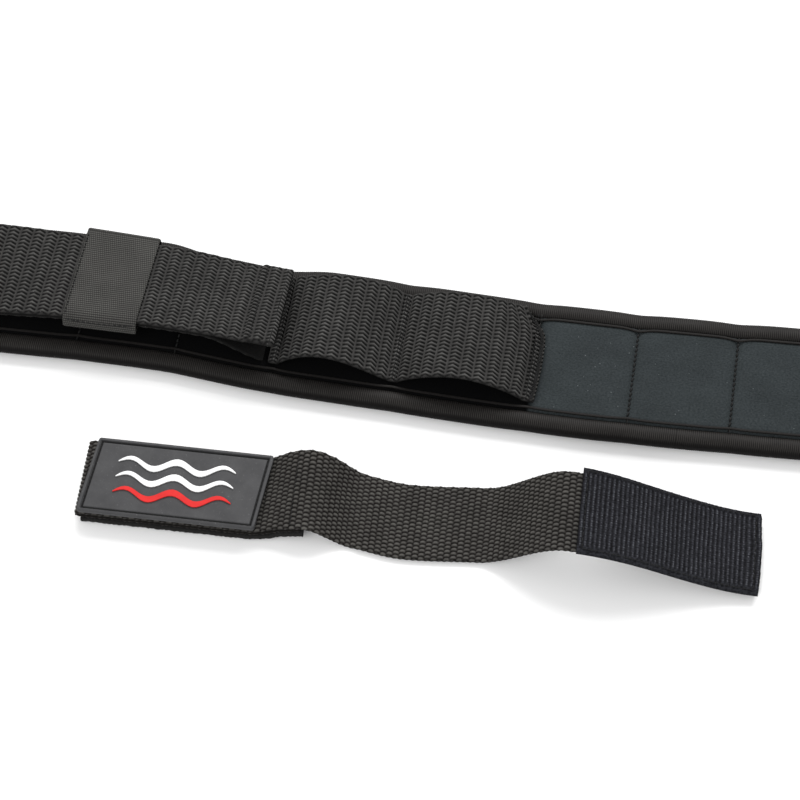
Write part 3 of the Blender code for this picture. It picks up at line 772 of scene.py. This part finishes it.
def face_height(x, y):
    """The top of the face: a pillow in each cell, and a valley at each seam."""
    half = PAD_WIDTH / 2 - BINDING_WIDTH
    beside = (y - pad_centre(x)) / half
    pillow = cell_crown(x) * 1.1 * (1 - np.clip(np.abs(beside), 0, 1) ** 4)
    return FACE_TOP - 0.4 * MM + pillow - 1.2 * MM * seam_dip(x, 1.6 * MM) * (1 - 0.2 * np.abs(beside))


def pad_strip(name, z, thickness, finish, **shape):
    """A strip with the pad's own outline, drawn in beneath the binding."""
    inset = BINDING_WIDTH - 1.2 * MM
    ends = PAD_HALF_LENGTH - inset
    x = np.linspace(PAD_MIDDLE - ends, PAD_MIDDLE + ends, 1400)
    route = np.stack([x, pad_centre(x), z + 0 * x, 0 * x], 1)

    def width(along):
        return 2 * float(half_width(x[0] + along, inset))

    return strip(name, route, width, thickness, finish, **shape)


def face():
    """The foam with its face cover, as one quilted pad inside the binding."""
    bottom, top = LINING_TOP + GAP, FACE_TOP - 0.4 * MM
    base = (top + bottom) / 2
    made = pad_strip("quilted_face", base, top - bottom, FINISHES["face"],
                     step=0.55 * MM, across_step=0.9 * MM)
    mesh = made.data
    points = np.empty(len(mesh.vertices) * 3, np.float32)
    mesh.vertices.foreach_get("co", points)
    points = points.reshape(-1, 3).astype(float)
    x, y = points[:, 0], points[:, 1]
    share = np.clip((points[:, 2] - base) / (top - base), 0, 1)
    points[:, 2] += share**2 * (face_height(x, y) - top + 0.12 * MM * wander(x, y, 21, 0.6))
    mesh.vertices.foreach_set("co", points.astype(np.float32).ravel())
    # The face's relief is a painted shade mask: 0, near black in the finish, along the stretches under the
    # webbing
    webbing_edge = PAD_MIDDLE - LEFT_SEAMS[-1]
    shaded_under_webbing = ramp(np.abs(x - PAD_MIDDLE), webbing_edge - 2 * MM, webbing_edge)
    mesh.attributes["relief"].data.foreach_set("value", (1 - shaded_under_webbing).astype(np.float32))
    mesh.update()
    across_fold(made)
    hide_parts("face_cover_left", "face_cover_right", "foam_core_left", "foam_core_right")


def across_fold(made):
    """The piece crosses the quilted seam where the pad folds."""
    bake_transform(made)


def lining():
    made = pad_strip("back_lining", LINING_TOP / 2, LINING_TOP, FINISHES["lining"],
                     step=2 * MM, across_step=2 * MM, under=33)
    across_fold(made)
    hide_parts("back_lining_left", "back_lining_right")


def pad_outline(inset, step):
    """Places round the pad, counter-clockwise from the middle of its front edge.

    Returns the plan points, the outward directions and the distances. A round corner is a quarter turn about
    a hub, and an edge is a run from one hub to the next.
    """
    radius = PAD_CORNER - inset
    reach, rise = PAD_HALF_LENGTH - PAD_CORNER, PAD_WIDTH / 2 - PAD_CORNER
    corner = math.pi / 2 * radius
    runs = (0, reach, corner, 2 * rise, corner, 2 * reach, corner, 2 * rise, corner, reach)
    bounds = np.cumsum(runs)
    gone = np.linspace(0, bounds[-1], int(bounds[-1] / step), endpoint=False)
    heading = np.interp(gone, bounds, np.radians((0, 0, 90, 90, 180, 180, 270, 270, 360, 360)))
    outs = np.stack([np.sin(heading), -np.cos(heading)], 1)
    hub_x = np.interp(gone, bounds, reach * np.array((0, 1, 1, 1, 1, -1, -1, -1, -1, 0)))
    hub_y = np.interp(gone, bounds, rise * np.array((-1, -1, -1, 1, 1, 1, 1, -1, -1, -1)))
    points = np.stack([hub_x + PAD_MIDDLE, hub_y], 1) + radius * outs
    points[:, 1] += pad_centre(points[:, 0])
    return points, outs, gone


def edge_sweep(name, inset, section, step, shift, relief=no_change):
    """A closed ring of binding round the pad, with section rows (outwards, up) clockwise seen from ahead."""
    route, outs, gone = pad_outline(inset, step)
    across, up = section.T
    rib = relief(gone[:, None], np.linspace(0, 1, len(section), endpoint=False)[None, :])
    radial = across * (1 + 0.012 * rib) + shift(route[:, 0], outs)[:, None]
    level = up + 0 * radial + 0.04 * MM * rib * np.sign(up - BINDING_HEIGHT / 2)
    plan = route[:, None] + outs[:, None] * radial[..., None]
    points = np.concatenate([plan, level[..., None]], -1)
    flat = np.stack(np.broadcast_arrays(gone[:, None], distances(section)[None, :]), -1)
    # Painted shade and light: darker low on the roll and between its ribs, paler high up and on the rib
    # crests
    shade = (0.5 + 0.5 * rib) * (0.06 + 0.94 * ramp(level, 0.66 * BINDING_HEIGHT, 0.98 * BINDING_HEIGHT))
    made = mesh_object(name, points, ring_quads(*radial.shape, closed=True), FINISHES["binding"],
                       flat=flat, relief=shade)
    across_fold(made)
    return made


def ribs(gone, part):
    """Fine ribs across the tape, a little uneven."""
    pitch = 0.93 * MM
    return np.sin(2 * np.pi * (gone + 0.15 * MM * wander(gone, part * 0.02, 4, 0.4)) / pitch)


def roll_section(sides, width, height):
    turn = np.linspace(0, 2 * np.pi, sides, endpoint=False)
    across, up = np.cos(turn), np.sin(turn)
    across = np.sign(across) * np.abs(across) ** 0.8 * width / 2
    up = np.sign(up) * np.abs(up) ** 0.85 * height / 2 + height / 2
    return np.stack([across, up], 1)


def drawn_in(reach, size):
    """A shift of the pad's edge inwards at its seams, and at the rear behind the floating webbing's end."""
    def shift(x, outs):
        side = np.where(outs[:, 1] > 0, 1.0, 0.3) * np.abs(outs[:, 1]) ** 4
        hollow = np.maximum(outs[:, 1], 0) * ramp(x, -0.125, -0.095) * (1 - ramp(x, -0.072, -0.040))
        return -size * side * seam_dip(x, reach) - 2.8 * MM * hollow
    return shift


def binding():
    section = roll_section(20, BINDING_WIDTH, BINDING_HEIGHT)
    made = edge_sweep("edge_roll", BINDING_WIDTH / 2, section, 0.31 * MM, drawn_in(9 * MM, 0.8 * MM), ribs)
    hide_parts("edge_binding_left", "edge_binding_right")

    lip = roll_section(8, 1.3 * MM, 1.0 * MM) + (0, BINDING_HEIGHT - 0.55 * MM)
    edge_sweep("edge_lip", BINDING_WIDTH + 0.6 * MM, lip, 0.8 * MM, drawn_in(5 * MM, 1.5 * MM))


# ---- the keeper


KEEPER_LENGTH = KEEPER_X[1] - KEEPER_X[0]
KEEPER_MIDDLE = sum(KEEPER_X) / 2
KEEPER_WIDE, KEEPER_HIGH = (inside + KEEPER_WALL for inside in KEEPER_INSIDE)
KEEPER_FRAME = np.array(
    Matrix.Translation((KEEPER_MIDDLE, float(web_centre(KEEPER_MIDDLE)), (BASE_Z + RETURN_Z) / 2))
    @ Matrix.Rotation(-KEEPER_ROLL, 4, "X")
)
# Each corner of its section: its side and level, and how far it rounds across and down, in millimetres
KEEPER_CORNERS = ((1, 1, 2.2, 2.2), (1, -1, 2.2, 2.2), (-1, -1, 1.2, 1.2), (-1, 1, 6.0, 6.2))


def keeper_ring():
    """The sleeve's outer section as (across, up) points clockwise, and the distances round it."""
    path = []
    for quarter, (side, level, reach, drop) in enumerate(KEEPER_CORNERS):
        angle = np.radians(90 - 90 * quarter - np.linspace(0, 90, 9))
        across = side * (KEEPER_WIDE - reach * MM) + reach * MM * np.cos(angle)
        up = level * (KEEPER_HIGH - drop * MM) + drop * MM * np.sin(angle)
        path.append(np.stack([across, up], 1))
    path = np.concatenate([*path, path[0][:1]])
    gone = distances(path)
    round_it = np.linspace(0, gone[-1], int(gone[-1] / (0.23 * MM)), endpoint=False)
    return np.stack([np.interp(round_it, gone, column) for column in path.T], 1), round_it


def from_keeper(points):
    """Points of the keeper's frame in the row frame, twisted flatter at the buckle end."""
    turn = -KEEPER_TWIST * points[:, 0] / (KEEPER_LENGTH / 2)
    y, z = points[:, 1], points[:, 2]
    turned = [points[:, 0], y * np.cos(turn) - z * np.sin(turn), y * np.sin(turn) + z * np.cos(turn)]
    return np.stack(turned, 1) @ KEEPER_FRAME[:3, :3].T + KEEPER_FRAME[:3, 3]


def keeper():
    """A sleeve of fine weave round both layers, its ends frayed and turned in."""
    ring, round_it = keeper_ring()
    normal = np.roll(ring, -1, 0) - np.roll(ring, 1, 0)
    normal = unit(np.stack([-normal[:, 1], normal[:, 0]], 1))
    half = KEEPER_LENGTH / 2
    along = np.linspace(-half, half, 152)
    far, place = along[:, None], round_it[None, :]
    weave = plain_weave(far + KEEPER_LENGTH, place)
    frayed = 0.35 * MM * (np.abs(np.sin(np.pi * place / (0.93 * MM))) - 0.5) * (np.abs(far) > half - 0.3 * MM)
    roll_in = 0.5 * MM * np.clip((np.abs(far) - half + 0.9 * MM) / (0.9 * MM), 0, 1) ** 2
    lift = 0.26 * MM * (weave - 0.9) - roll_in
    outside = ring + normal * lift[..., None]
    outer = np.concatenate([(far + np.sign(far) * frayed)[..., None], outside], -1)
    inside = ring - normal * 0.45 * MM
    inner = [np.insert(inside, 0, x, axis=1) for x in (half, -half)]
    points = from_keeper(np.concatenate([outer, inner]).reshape(-1, 3))
    # The weave's height is also the keeper's relief, which its finish turns into painted shade in the gaps
    # and painted light on the floats. The two inner rings get a fixed 0.4
    shade = np.concatenate([weave, np.full((2, len(ring)), 0.4)])
    flat = np.stack(np.broadcast_arrays(np.r_[along, half, -half][:, None], place), -1)
    made = mesh_object("keeper_sleeve", points, ring_quads(*shade.shape, closed=True), FINISHES["keeper"],
                       flat=flat, relief=shade)
    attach(made, "keeper")
    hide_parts("keeper_loop")


def keeper_stitches():
    """A seam along the sleeve's front edge, and a hem at its buckle end."""
    ring = keeper_ring()[0]
    crown = ring[ring[:, 1] > KEEPER_HIGH - 6.4 * MM]
    crown = crown[np.argsort(crown[:, 0])]
    half = KEEPER_LENGTH / 2 - 1.2 * MM
    seam_x = np.linspace(-half, half, 40)
    seam_y = -KEEPER_WIDE + 1.1 * MM - 0.5 * MM * (1 - (seam_x / half) ** 2)
    hem_y = np.linspace(-KEEPER_WIDE + 3 * MM, KEEPER_WIDE - 5 * MM, 40)
    hem_x = np.full(40, -half - 0.2 * MM)
    rows = []
    for x, y, lift, pitch, radius, fill in (
        (seam_x, seam_y, 0.05 * MM, 2.4 * MM, 0.36 * MM, 0.82),
        (hem_x, hem_y, 0.0, 1.75 * MM, 0.40 * MM, 0.60),
    ):
        line = from_keeper(np.stack([x, y, np.interp(y, crown[:, 0], crown[:, 1]) + lift], 1))
        rows.append(stitch_row(line, pitch, radius, fill, up=KEEPER_FRAME[:3, 2]))
    made = thread("keeper_hem_stitches", rows)
    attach(made, "keeper")


# ---- stitching


def across_line(x, front, rear, height):
    """A line across the belt at x, from front to rear beside the pad's centre line."""
    x = np.full(60, x)
    y = pad_centre(x) + np.linspace(front, rear, 60)
    return np.stack([x, y, height(x, y)], 1)


def cell_stitches():
    """The quilting seams of the plain cells, sunk in their valleys, with a thread end in front of each."""
    half = PAD_WIDTH / 2 - BINDING_WIDTH + 0.2 * MM
    for label, seams in (
        ("left", [x for x in CELL_SEAMS if x < FOLD_X - MM]),
        ("fold", [FOLD_X]),
        ("right", [x for x in CELL_SEAMS if x > FOLD_X + MM]),
    ):
        rows = []
        for x in seams:
            path = across_line(x, -half, half, lambda x, y: face_height(x, y) + 0.25 * MM)
            rows.append(stitch_row(path, 2.7 * MM, 0.52 * MM, fill=0.92, slant=0.6 * MM))
            front = pad_centre(x) - half
            tick = np.array([(x + 0.1 * MM, front + 0.6 * MM, FACE_TOP + 0.2 * MM),
                             (x, front - 1.6 * MM, FACE_TOP + 0.3 * MM)])
            rows.append(stitch_row(tick, 2 * MM, 0.20 * MM, fill=1.0))
        made = thread(f"cell_stitches_{label}", rows)
        if label == "fold":
            across_fold(made)
        else:
            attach(made, f"pad_{label}")


def tunnel_stitches():
    """Two rows of stitches at each tunnel seam, and a tight zigzag over each cut end of the webbing."""
    half = WEB_WIDTH / 2 - 1.0 * MM
    top = SEWN_Z + WEB_THICKNESS / 2 + 0.12 * MM
    for label, seams, end, inward in (
        ("left", LEFT_SEAMS, LEFT_SEAMS[-1], 1),
        ("right", RIGHT_SEAMS, RIGHT_SEAMS[0], -1),
    ):
        rows = []
        for x in [seam + side for seam in seams for side in (-0.7 * MM, 0.7 * MM)]:
            path = across_line(x, WEB_OFFSET - half, WEB_OFFSET + half, lambda x, y: top + 0 * x)
            rows.append(stitch_row(path, 2.3 * MM, 0.24 * MM))
        y = np.linspace(-half, half, 120)
        zigzag = np.where(np.arange(120) % 2, 0.9 * MM, -0.9 * MM)
        x = end + zigzag + inward * (1.4 * MM + 0.95 * cut_end(y / half))
        path = np.stack([x, web_centre(x) + y, top + 0.05 * MM + 0 * x], 1)
        rows.append(stitch_row(path, 1.9 * MM, 0.20 * MM, fill=0.96))
        made = thread(f"tunnel_stitches_{label}", rows)
        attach(made, f"pad_{label}")


def hem_stitches():
    """Two rows of stitches across the thick hem at the end of the return layer."""
    half = WEB_WIDTH / 2 - 1.5 * MM
    y = np.linspace(-half, half, 60)
    top = RETURN_Z + 1.5 * WEB_THICKNESS + 0.1 * MM
    rows = []
    for back in (2.2 * MM, HEM_LENGTH - 2.0 * MM):
        x = RETURN_END - back
        roll = float_roll(x)
        path = np.stack([np.full(60, x), web_centre(x) + y * np.cos(roll), top - y * np.sin(roll)], 1)
        rows.append(stitch_row(path, 2.3 * MM, 0.22 * MM))
    made = thread("hem_stitches", rows)
    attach(made, "pad_left")


# ---- the closing strap


def strap_height(s):
    """The height of the strap's centre line, which lies in two humps."""
    return through(STRAP_KNOTS, s)


def strap_route(span, lift, count=1400):
    """A route along the strap, raised by lift along its normal, in the strap's own frame."""
    s = np.linspace(*span, count)
    lean = np.arctan((strap_height(s + 0.1 * MM) - strap_height(s - 0.1 * MM)) / (0.2 * MM))
    place = [s - lift * np.sin(lean), through(STRAP_SWAY, s), strap_height(s) + lift * np.cos(lean)]
    return np.stack([*place, np.radians(through(STRAP_ROLLS, s))], 1)


def beside(route, aside):
    """Points beside a route, along its rolled width."""
    return route[:, :3] + aside * np.stack([0 * route[:, 3], np.cos(route[:, 3]), -np.sin(route[:, 3])], 1)


def across_strap(route, front, rear, count):
    """A line across the strap where the route begins."""
    return np.concatenate([beside(route[:1], y) for y in np.linspace(front, rear, count)])


def to_row(made):
    """Turns a piece made in the strap's own frame into the row frame."""
    made.data.transform(STRAP_FRAME)
    return made


def strap_edge(along, side):
    rear = 0.45 * MM * (np.abs(np.sin(np.pi * along / (5.7 * MM))) - 0.6)
    front = 0.12 * MM * np.sin(2 * np.pi * along / (2.86 * MM))
    return np.where(side > 0, rear, front)


def strap_thread(name, lines, pitch, radius, body):
    """Stitches along lines in the strap's own frame."""
    made = to_row(thread(name, [stitch_row(line, pitch, radius) for line in lines]))
    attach(made, body)


def strap_webbing():
    """Folded back under itself at the patch end, and over its two humps to the hook end."""
    start, end = STRAP_KNOTS[0][0], STRAP_KNOTS[-1][0]
    drop = WEB_THICKNESS + GAP
    turn = np.radians(np.linspace(-90, -270, 24)[1:-1])
    fold = np.stack([start + drop / 2 * np.cos(turn), 0 * turn,
                     STRAP_KNOTS[0][1] + drop / 2 * (np.sin(turn) - 1), 0 * turn], 1)
    under = strap_route((STRAP_UNDER_END, start), -drop, 400)
    route = np.concatenate([under, fold, strap_route((start, end), 0.0)])
    made = to_row(strip("strap_webbing", route, STRAP_WIDTH, WEB_THICKNESS,
                        FINISHES["strap"], basket, 0.6 * MM, 0.40 * MM, 0.32 * MM, edge=strap_edge))
    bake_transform(made)
    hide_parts("strap_patch_end", "strap_hook_end")

    seam = strap_route((STRAP_SEAM, STRAP_SEAM + 0.1 * MM), WEB_THICKNESS / 2 + 0.1 * MM, 2)
    half = STRAP_WIDTH / 2 - 1.5 * MM
    strap_thread("strap_seam_stitches", [across_strap(seam, -half, half, 40)], 2.4 * MM, 0.22 * MM, "strap")


def loop_tape():
    lift = -(1.5 * WEB_THICKNESS + 2 * GAP + TAPE_THICKNESS / 2)

    def edge(along, side):
        return 0.5 * MM * (noise(along, side, 15, 0.8 * MM) - 0.5)

    made = to_row(strip("loop_tape_pile", strap_route(TAPE_SPAN, lift), TAPE_WIDTH, TAPE_THICKNESS,
                        FINISHES["pile"], pile, 0.3 * MM, 0.6 * MM, 0.6 * MM, under=60, edge=edge))
    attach(made, "strap")
    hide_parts("loop_tape")


def hook_panel():
    lift = WEB_THICKNESS / 2 + GAP + HOOK_THICKNESS / 2
    first, last = HOOK_SPAN

    def ends(along, fraction):
        ragged = 0.5 * MM * (noise(fraction * 0.02 + 0.1, 0 * fraction, 17, 1.1 * MM) - 0.5)
        return ramp(along, last - first - 4 * MM, last - first) * (ragged + 0.8 * MM * (1 - fraction**2))

    made = to_row(strip("hook_panel_ribs", strap_route(HOOK_SPAN, lift), HOOK_WIDTH, HOOK_THICKNESS,
                        FINISHES["hook"], hook_rows, 0.7 * MM, 0.28 * MM, 0.30 * MM, ends=ends))
    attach(made, "strap_hook")
    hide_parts("hook_panel")

    route = strap_route((first + 2 * MM, last - 2.4 * MM), lift + HOOK_THICKNESS / 2 + 0.1 * MM, 300)
    front, rear = -HOOK_WIDTH / 2 + 2.4 * MM, HOOK_WIDTH / 2 - 2.0 * MM
    lines = [beside(route, front), beside(route, rear)]
    lines += [across_strap(station, front, rear, 60) for station in (route[:1], route[-1:])]
    strap_thread("hook_panel_stitches", lines, 2.6 * MM, 0.24 * MM, "strap_hook")


def patch_relief(along, across):
    """A raised rim round a sunken field, with a stitching groove inside the rim."""
    length = PATCH_SPAN[1] - PATCH_SPAN[0]
    inside = np.minimum(np.minimum(along, length - along), PATCH_WIDTH / 2 - np.abs(across))
    rim = 1 - ramp(inside, PATCH_RIM_WIDTH - 0.3 * MM, PATCH_RIM_WIDTH)
    rim = rim * (1 - 0.3 * (1 - ramp(inside, 0, 0.4 * MM)))
    groove = np.exp(-(((inside - PATCH_GROOVE) / (0.45 * MM)) ** 4))
    return np.clip(0.45 + 0.55 * rim - 0.45 * groove, 0, 1)


def patch():
    bottom = STRAP_KNOTS[0][1] + WEB_THICKNESS / 2 + GAP
    depth = PATCH_THICKNESS + PATCH_RIM_HEIGHT
    x = np.linspace(*PATCH_SPAN, 200)
    length = PATCH_SPAN[1] - PATCH_SPAN[0]
    route = np.stack([x, 0 * x, bottom + depth / 2 + 0 * x, 0 * x], 1)

    def width(along):
        past = max(PATCH_CORNER - min(along, length - along), 0.0)
        return PATCH_WIDTH - 2 * (PATCH_CORNER - math.sqrt(max(PATCH_CORNER**2 - past**2, 0)))

    def askew(along, fraction):
        return (0.6 + 1.7 * fraction) * MM + 0 * along

    made = to_row(strip("patch_plate", route, width, depth,
                        FINISHES["rubber"], patch_relief, 1.1 * MM, 0.3 * MM, 0.3 * MM, ends=askew))
    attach(made, "strap")
    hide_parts("rubber_patch")

    top = bottom + depth - 0.9 * MM
    low, high = PATCH_SPAN[0] + PATCH_GROOVE, PATCH_SPAN[1] - PATCH_GROOVE
    half = PATCH_WIDTH / 2 - PATCH_GROOVE
    corners = [(low, -half), (high, -half), (high, half), (low, half), (low, -half)]
    lines = []
    for (x0, y0), (x1, y1) in zip(corners, corners[1:]):
        y = np.linspace(y0, y1, 40)
        x = np.linspace(x0, x1, 40) + askew(0, y / half)
        lines.append(np.stack([x, y, top + 0 * x], 1))
    strap_thread("patch_stitches", lines, 2.4 * MM, 0.26 * MM, "strap")


# ---- pieces kept from the frame


KEPT_FINISHES = {
    "buckle_frame": "steel", "buckle_bar": "steel", "lever_pin": "steel", "buckle_lever": "lever",
    "emblem_wave_upper": "white", "emblem_wave_middle": "white", "emblem_wave_lower": "red",
}


def dress_kept_pieces():
    """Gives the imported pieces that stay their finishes."""
    for node, finish in KEPT_FINISHES.items():
        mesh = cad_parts[node].data
        mesh.materials.clear()
        mesh.materials.append(FINISHES[finish])


# ---- studio


def floor():
    mesh = bpy.data.meshes.new("studio_floor")
    mesh.from_pydata([(-6, -6, 0), (6, -6, 0), (6, 6, 0), (-6, 6, 0)], [], [(0, 1, 2, 3)])
    mesh.materials.append(FINISHES["floor"])
    made = add_object("studio_floor", mesh)
    made.location.z = -0.6 * MM


def softbox(name, place, target, size, power):
    lamp = bpy.data.lights.new(name, "AREA")
    lamp.shape = "RECTANGLE"
    lamp.size, lamp.size_y = size
    lamp.energy = power
    made = add_object(name, lamp)
    made.location = place
    made.rotation_euler = (Vector(target) - Vector(place)).to_track_quat("-Z", "Y").to_euler()


def studio():
    floor()
    softbox("rear_softbox", (0.1, 1.1, 1.1), (0.05, 0, 0), (1.6, 0.8), 26)
    softbox("front_softbox", (-0.5, -1.0, 1.2), (0, -0.05, 0), (1.0, 0.8), 9)
    world = bpy.data.worlds.new("studio")
    world.use_nodes = True
    background = world.node_tree.nodes["Background"]
    background.inputs["Color"].default_value = (1.0, 1.0, 1.0, 1)
    background.inputs["Strength"].default_value = 0.75
    bpy.context.scene.world = world
    bpy.context.scene.view_settings.view_transform = "Standard"


def camera():
    """Looks down at 60 degrees from a little to the right."""
    azimuth, elevation, distance = math.radians(9.4), math.radians(60), 1.03
    target = Vector((0, -0.0265, 0))
    level = math.cos(elevation)
    back = Vector((math.sin(azimuth) * level, -math.cos(azimuth) * level, math.sin(elevation)))
    made = add_object("camera", bpy.data.cameras.new("camera"))
    made.data.sensor_width = 36
    made.data.lens = 99
    made.location = target + back * distance
    made.rotation_euler = (-back).to_track_quat("-Z", "Y").to_euler()
    bpy.context.scene.camera = made


def main():
    camera()
    studio()
    face()
    lining()
    binding()
    sewn_left()
    float_left()
    webbing_right()
    keeper()
    keeper_stitches()
    cell_stitches()
    tunnel_stitches()
    hem_stitches()
    strap_webbing()
    loop_tape()
    hook_panel()
    patch()
    dress_kept_pieces()


main()
